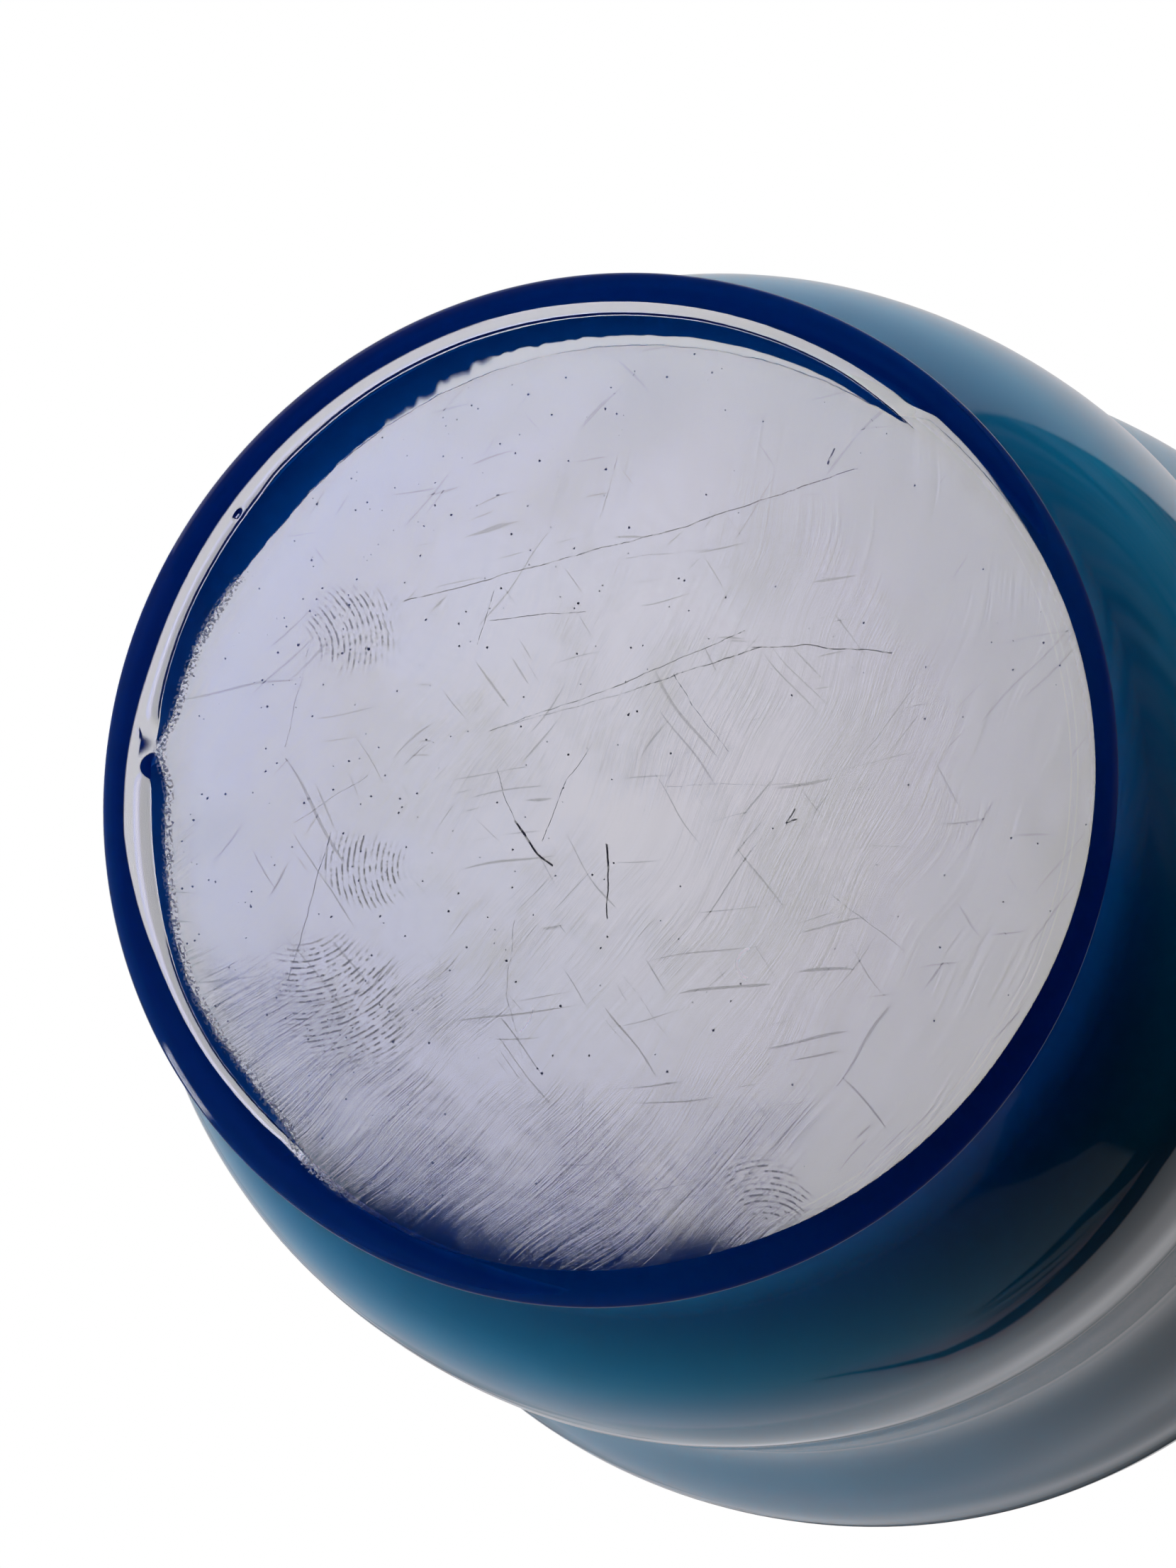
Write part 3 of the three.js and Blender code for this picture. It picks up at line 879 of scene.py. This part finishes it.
def studio_world():
    """A pale backdrop behind the object, and a dark studio on the camera's side.
    What the glass mirrors is laid out by angle from the line of sight and by turn
    about it; the turn is 0 towards the picture's lower right."""
    world = bpy.data.worlds.new("studio")
    scene.world = world
    world.use_nodes = True
    nt = world.node_tree
    for n in list(nt.nodes):
        nt.nodes.remove(n)
    out = add(nt, "ShaderNodeOutputWorld")
    tc = add(nt, "ShaderNodeTexCoord")
    d = tc.outputs["Generated"]
    back = -TO_CAM
    low = (SIDE * math.cos(TILT) + UP * math.sin(TILT)).normalized()
    c = vec(nt, "DOT_PRODUCT", d, tuple(back))
    s = vec(nt, "DOT_PRODUCT", d, tuple(low))
    t = vec(nt, "DOT_PRODUCT", d, tuple(ACROSS))
    angle = calc(nt, "MULTIPLY", calc(nt, "ARCCOSINE", calc(nt, "MINIMUM", c, 0.99999)), 180 / math.pi)
    swing = calc(nt, "MULTIPLY", calc(nt, "ARCTAN2", t, s), 180 / math.pi)
    wob = calc(nt, "MULTIPLY_ADD", noise(nt, d, 9.0, 2.0, 0.5), 5.0, -2.5)
    slow = calc(nt, "MULTIPLY_ADD", noise(nt, d, 3.0, 2.0, 0.5), 12.0, -6.0)
    # long streaks, drawn out along the turn
    comb = add(nt, "ShaderNodeCombineXYZ")
    put(nt, comb.inputs[0], calc(nt, "MULTIPLY", calc(nt, "ADD", angle, calc(nt, "MULTIPLY", swing, 0.25)), 0.30))
    put(nt, comb.inputs[1], calc(nt, "MULTIPLY", swing, 0.030))
    streak = noise(nt, comb.outputs[0], 1.0, 3.0, 0.6)

    # lower side: a pale surface close by, that dims with the angle
    near_tone = curve(nt, angle, [(0, 0.14), (8, 0.20), (14, 0.34), (20, 0.50), (27, 0.58), (30, 0.50), (40, 0.27), (48, 0.22), (55, 0.15), (62, 0.12), (75, 0.10), (90, 0.07), (100, 0.04), (125, 0.015)])
    far_tone = curve(nt, angle, [(0, 0.60), (20, 0.53), (30, 0.46), (40, 0.32), (50, 0.20), (60, 0.125), (75, 0.09), (90, 0.06), (105, 0.03), (125, 0.015)])
    tone = blend(nt, ramp(nt, swing, 32.0, 62.0), near_tone, far_tone, "FLOAT")
    glare = calc(nt, "MULTIPLY", calc(nt, "MULTIPLY", ramp(nt, angle, 22.0, 12.0), ramp(nt, angle, 1.0, 6.0)), calc(nt, "MULTIPLY", ramp(nt, swing, 66.0, 48.0), ramp(nt, swing, 8.0, 26.0)))
    tone = calc(nt, "MULTIPLY_ADD", glare, 0.30, tone)
    tone = calc(nt, "MULTIPLY", tone, calc(nt, "SUBTRACT", 1.0, calc(nt, "MULTIPLY", calc(nt, "MULTIPLY", ramp(nt, streak, 0.50, 0.40), ramp(nt, angle, 24.0, 10.0)), 0.6)))
    # the dark gap across it
    gap_at = curve(nt, swing, [(-20, 52), (5, 52), (10, 50.5), (15, 48.5), (20, 46.5), (25, 44.5), (30, 43), (35, 43.5), (40, 47), (45, 50.5), (50, 52)])
    gap_half = curve(nt, swing, [(-20, 4), (5, 4.2), (14, 4.0), (20, 3.3), (28, 2.6), (33, 1.8), (40, 1.3), (46, 0.8), (51, 0.0)])
    far_at = curve(nt, swing, [(-20, 58), (5, 60), (10, 61), (15, 62.5), (20, 61), (25, 59), (30, 56.5)])
    far_half = curve(nt, swing, [(-20, 6), (5, 4.5), (10, 3.2), (15, 2.3), (20, 1.8), (25, 1.2), (31, 0.0)])
    a1 = calc(nt, "ADD", angle, calc(nt, "MULTIPLY", wob, 0.22))
    off1 = calc(nt, "SUBTRACT", a1, gap_at)
    strand1 = ramp(nt, calc(nt, "SUBTRACT", calc(nt, "ABSOLUTE", off1), gap_half), 0.5, -0.9)
    strand2 = ramp(nt, calc(nt, "SUBTRACT", calc(nt, "ABSOLUTE", calc(nt, "SUBTRACT", a1, far_at)), far_half), 0.5, -0.9)
    between = calc(nt, "MULTIPLY", calc(nt, "MULTIPLY", ramp(nt, off1, -1.0, 1.0), ramp(nt, calc(nt, "SUBTRACT", far_at, a1), -1.0, 1.0)), ramp(nt, swing, 34.0, 28.0))
    between = calc(nt, "MULTIPLY", between, ramp(nt, streak, 0.56, 0.42, 0.25, 0.9))
    gap = calc(nt, "MAXIMUM", calc(nt, "MAXIMUM", strand1, strand2), between)
    tone = calc(nt, "MULTIPLY", tone, calc(nt, "SUBTRACT", 1.0, calc(nt, "MULTIPLY", gap, 0.95)))
    # its end towards the lower right, and its far edge
    end = curve(nt, swing, [(-30, 40), (-8, 56), (2, 60), (5, 66), (7, 80), (12, 85), (20, 90), (45, 92), (62, 98), (80, 130), (180, 140)])
    a2 = calc(nt, "ADD", angle, calc(nt, "MULTIPLY", wob, 0.30))
    fade = blend(nt, ramp(nt, swing, 5.0, 9.0), ramp(nt, calc(nt, "SUBTRACT", end, angle), 0.0, 16.0), ramp(nt, calc(nt, "SUBTRACT", end, a2), -0.6, 0.6), "FLOAT")
    lower = calc(nt, "MULTIPLY_ADD", tone, fade, 0.004)

    # upper side: a large pale panel with a straight edge, and grey beyond it
    panel_end = curve(nt, swing, [(-180, 80), (-112, 70), (-100, 68), (-95, 66), (-90, 62), (-85, 57), (-80, 51), (-75, 45), (-70, 38), (-65, 32), (-60, 26), (-50, 15), (-40, 8), (0, 1)])
    panel = calc(nt, "MULTIPLY", ramp(nt, calc(nt, "SUBTRACT", panel_end, angle), -1.0, 1.5), curve(nt, angle, [(0, 0.62), (30, 0.66), (60, 0.60), (80, 0.45)]))
    grey = calc(nt, "MULTIPLY", ramp(nt, streak, 0.34, 0.66, 0.02, 0.14), ramp(nt, calc(nt, "ADD", angle, slow), 102.0, 88.0))
    star = calc(nt, "MULTIPLY", calc(nt, "MULTIPLY", ramp(nt, swing, -52.0, -44.0), ramp(nt, swing, -24.0, -30.0)), calc(nt, "MULTIPLY", ramp(nt, angle, 88.0, 92.0), ramp(nt, angle, 116.0, 100.0)))
    grey = calc(nt, "MAXIMUM", grey, calc(nt, "MULTIPLY", star, ramp(nt, streak, 0.38, 0.55, 0.01, 0.10)))
    grey = calc(nt, "MULTIPLY", grey, ramp(nt, swing, -24.0, -34.0))
    upper = calc(nt, "ADD", calc(nt, "MAXIMUM", panel, grey), 0.004)
    mirror = blend(nt, ramp(nt, swing, -22.0, -12.0), upper, lower, "FLOAT")
    rosy = calc(nt, "MULTIPLY", calc(nt, "MULTIPLY", ramp(nt, off1, -6.0, -1.0), ramp(nt, off1, 9.0, 3.0)), calc(nt, "MULTIPLY", ramp(nt, swing, -14.0, 0.0), ramp(nt, swing, 50.0, 40.0)))

    # light that reaches the glass from above
    lamp = calc(nt, "ADD", ramp(nt, angle, 70.0, 35.0, 0.0, 0.40), 0.01)
    path = add(nt, "ShaderNodeLightPath")
    level = blend(nt, path.outputs["Is Reflection Ray"], lamp, mirror, "FLOAT")
    level = blend(nt, path.outputs["Is Diffuse Ray"], level, ramp(nt, angle, 75.0, 40.0, 0.05, 0.55), "FLOAT")
    level = blend(nt, path.outputs["Is Camera Ray"], level, 1.0, "FLOAT")
    bg = add(nt, "ShaderNodeBackground")
    tint = blend(nt, rosy, (0.98, 0.97, 1.0, 1), (1.0, 0.62, 0.60, 1))
    tint = blend(nt, path.outputs["Is Reflection Ray"], (1.0, 0.98, 1.0, 1), tint)
    tint = blend(nt, path.outputs["Is Camera Ray"], tint, (1, 1, 1, 1))
    nt.links.new(tint, bg.inputs["Color"])
    nt.links.new(level, bg.inputs["Strength"])
    nt.links.new(bg.outputs[0], out.inputs["Surface"])


studio_world()

def side_sheet(name, height, inner, outer, fade_in, fade_out, near_tones, far_tones):
    """A thin sheet beside the upper bulge, seen only as a reflection."""
    first, last, n = -24, 88, 90
    a = np.radians(np.linspace(first, last, n)) + SIDE_AZ
    verts = [(rr * MM * math.cos(t), rr * MM * math.sin(t), height * MM) for rr in (inner, outer) for t in a]
    mesh = bpy.data.meshes.new(name)
    mesh.from_pydata(verts, [], [(k, k + 1, n + k + 1, n + k) for k in range(n - 1)])
    o = bpy.data.objects.new(name, mesh)
    scene.collection.objects.link(o)
    m, nt, out = new_material(name)
    pos = in_mm(nt)
    sep = add(nt, "ShaderNodeSeparateXYZ")
    nt.links.new(pos, sep.inputs[0])
    reach = vec(nt, "LENGTH", vec(nt, "MULTIPLY", pos, (1, 1, 0)))
    turn = calc(nt, "MULTIPLY", calc(nt, "ARCTAN2", sep.outputs[1], sep.outputs[0]), 180 / math.pi)
    near = curve(nt, reach, near_tones)
    far = curve(nt, reach, far_tones)
    em = add(nt, "ShaderNodeEmission")
    em.inputs["Color"].default_value = (0.98, 0.97, 1.0, 1)
    put(nt, em.inputs["Strength"], blend(nt, ramp(nt, turn, 30.0, 60.0), near, far, "FLOAT"))
    open_air = add(nt, "ShaderNodeBsdfTransparent")
    either = add(nt, "ShaderNodeMixShader")
    ends = calc(nt, "MULTIPLY", ramp(nt, turn, first, first + 22.0), ramp(nt, turn, last, last - 22.0))
    put(nt, either.inputs[0], calc(nt, "MULTIPLY", calc(nt, "MULTIPLY", ends, ramp(nt, reach, outer, outer - fade_out)), ramp(nt, reach, inner, inner + fade_in)))
    nt.links.new(open_air.outputs[0], either.inputs[1])
    nt.links.new(em.outputs[0], either.inputs[2])
    nt.links.new(either.outputs[0], out.inputs["Surface"])
    mesh.materials.append(m)
    o.visible_camera = o.visible_shadow = o.visible_diffuse = o.visible_transmission = False


side_sheet("pale_sheet", 108, 55.5, 78.0, 6.0, 5.0, [(54, 0.72), (62, 0.72), (68, 0.52), (78, 0.45)], [(54, 0.55), (60, 0.52), (68, 0.42), (78, 0.33)])
side_sheet("dark_sheet", 118, 52.5, 57.6, 0.2, 4.9, [(52, 0.04), (58, 0.06)], [(52, 0.05), (58, 0.08)])

# Pale floor. The main camera looks up from under it, so its lower side is clear.
floor_mesh = bpy.data.meshes.new("floor")
floor_mesh.from_pydata([(-6, -6, 0), (6, -6, 0), (6, 6, 0), (-6, 6, 0)], [], [(0, 1, 2, 3)])
floor = bpy.data.objects.new("floor", floor_mesh)
scene.collection.objects.link(floor)
floor.location.z = -0.0002
fm, ft, fo = new_material("pale_floor")
geo = add(ft, "ShaderNodeNewGeometry")
diff = add(ft, "ShaderNodeBsdfDiffuse")
diff.inputs["Color"].default_value = (0.82, 0.82, 0.82, 1)
glow = add(ft, "ShaderNodeEmission")
glow.inputs["Strength"].default_value = 0.35
both = add(ft, "ShaderNodeAddShader")
ft.links.new(diff.outputs[0], both.inputs[0])
ft.links.new(glow.outputs[0], both.inputs[1])
# past the middle it keeps one even tone
even = add(ft, "ShaderNodeEmission")
even.inputs["Strength"].default_value = 0.64
span = vec(ft, "LENGTH", vec(ft, "MULTIPLY", geo.outputs["Position"], (1, 1, 0)))
lit = add(ft, "ShaderNodeMixShader")
put(ft, lit.inputs[0], ramp(ft, span, 0.22, 0.75))
ft.links.new(both.outputs[0], lit.inputs[1])
ft.links.new(even.outputs[0], lit.inputs[2])
clear = add(ft, "ShaderNodeBsdfTransparent")
side = add(ft, "ShaderNodeMixShader")
ft.links.new(geo.outputs["Backfacing"], side.inputs[0])
ft.links.new(lit.outputs[0], side.inputs[1])
ft.links.new(clear.outputs[0], side.inputs[2])
ft.links.new(side.outputs[0], fo.inputs["Surface"])
floor_mesh.materials.append(fm)
floor.visible_diffuse = floor.visible_glossy = floor.visible_transmission = False
floor.visible_shadow = False

scene.view_settings.view_transform = "Standard"
scene.view_settings.look = "None"
scene.cycles.use_denoising = True
scene.cycles.max_bounces = 12
scene.cycles.transmission_bounces = 12
scene.cycles.glossy_bounces = 8
scene.cycles.diffuse_bounces = 3
scene.cycles.transparent_max_bounces = 8
scene.cycles.sample_clamp_indirect = 0.0
scene.cycles.caustics_refractive = True
scene.cycles.caustics_reflective = True
